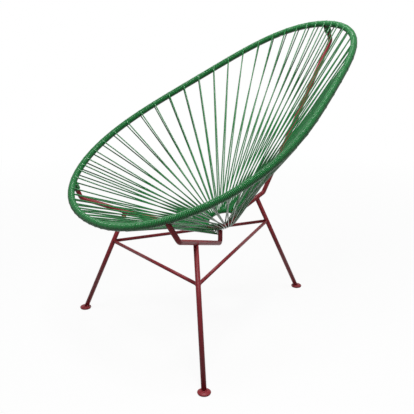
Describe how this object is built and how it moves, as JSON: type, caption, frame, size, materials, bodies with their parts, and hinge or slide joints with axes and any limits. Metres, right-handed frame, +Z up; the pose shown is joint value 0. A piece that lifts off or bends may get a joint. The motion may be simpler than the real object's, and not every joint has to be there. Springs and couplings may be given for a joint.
{
  "type": "lounge chair",
  "caption": "Three-legged lounge chair with an egg-shaped bucket seat of cord strung from a wound rim hoop down to a small ring, on braced rod legs.",
  "frame": {"origin": "on the floor, under the middle of the chair's outline seen from above", "axes": "+X towards the sitter's left, -Y towards the front of the chair, +Z up"},
  "size_m": [0.7256, 0.9256, 0.9104],
  "materials": {
    "frame_steel": "semi-gloss dark red powder coat",
    "seat_cord": "smooth green vinyl cord"
  },
  "bodies": {
    "root": {"rim_hoop": "frame_steel", "seat_ring": "frame_steel", "bracket_front_left": "frame_steel", "bracket_front_right": "frame_steel", "bracket_rear": "frame_steel", "leg_front_left": "frame_steel", "leg_front_right": "frame_steel", "leg_rear": "frame_steel", "brace_front": "frame_steel", "brace_left": "frame_steel", "brace_right": "frame_steel", "foot_front_left": "frame_steel", "foot_front_right": "frame_steel", "foot_rear": "frame_steel", "cord_back": "seat_cord", "cord_right_01": "seat_cord", "cord_right_02": "seat_cord", "cord_right_03": "seat_cord", "cord_right_04": "seat_cord", "cord_right_05": "seat_cord", "cord_right_06": "seat_cord", "cord_right_07": "seat_cord", "cord_right_08": "seat_cord", "cord_right_09": "seat_cord", "cord_front": "seat_cord", "cord_left_01": "seat_cord", "cord_left_02": "seat_cord", "cord_left_03": "seat_cord", "cord_left_04": "seat_cord", "cord_left_05": "seat_cord", "cord_left_06": "seat_cord", "cord_left_07": "seat_cord", "cord_left_08": "seat_cord", "cord_left_09": "seat_cord"}
  },
  "joints": []
}
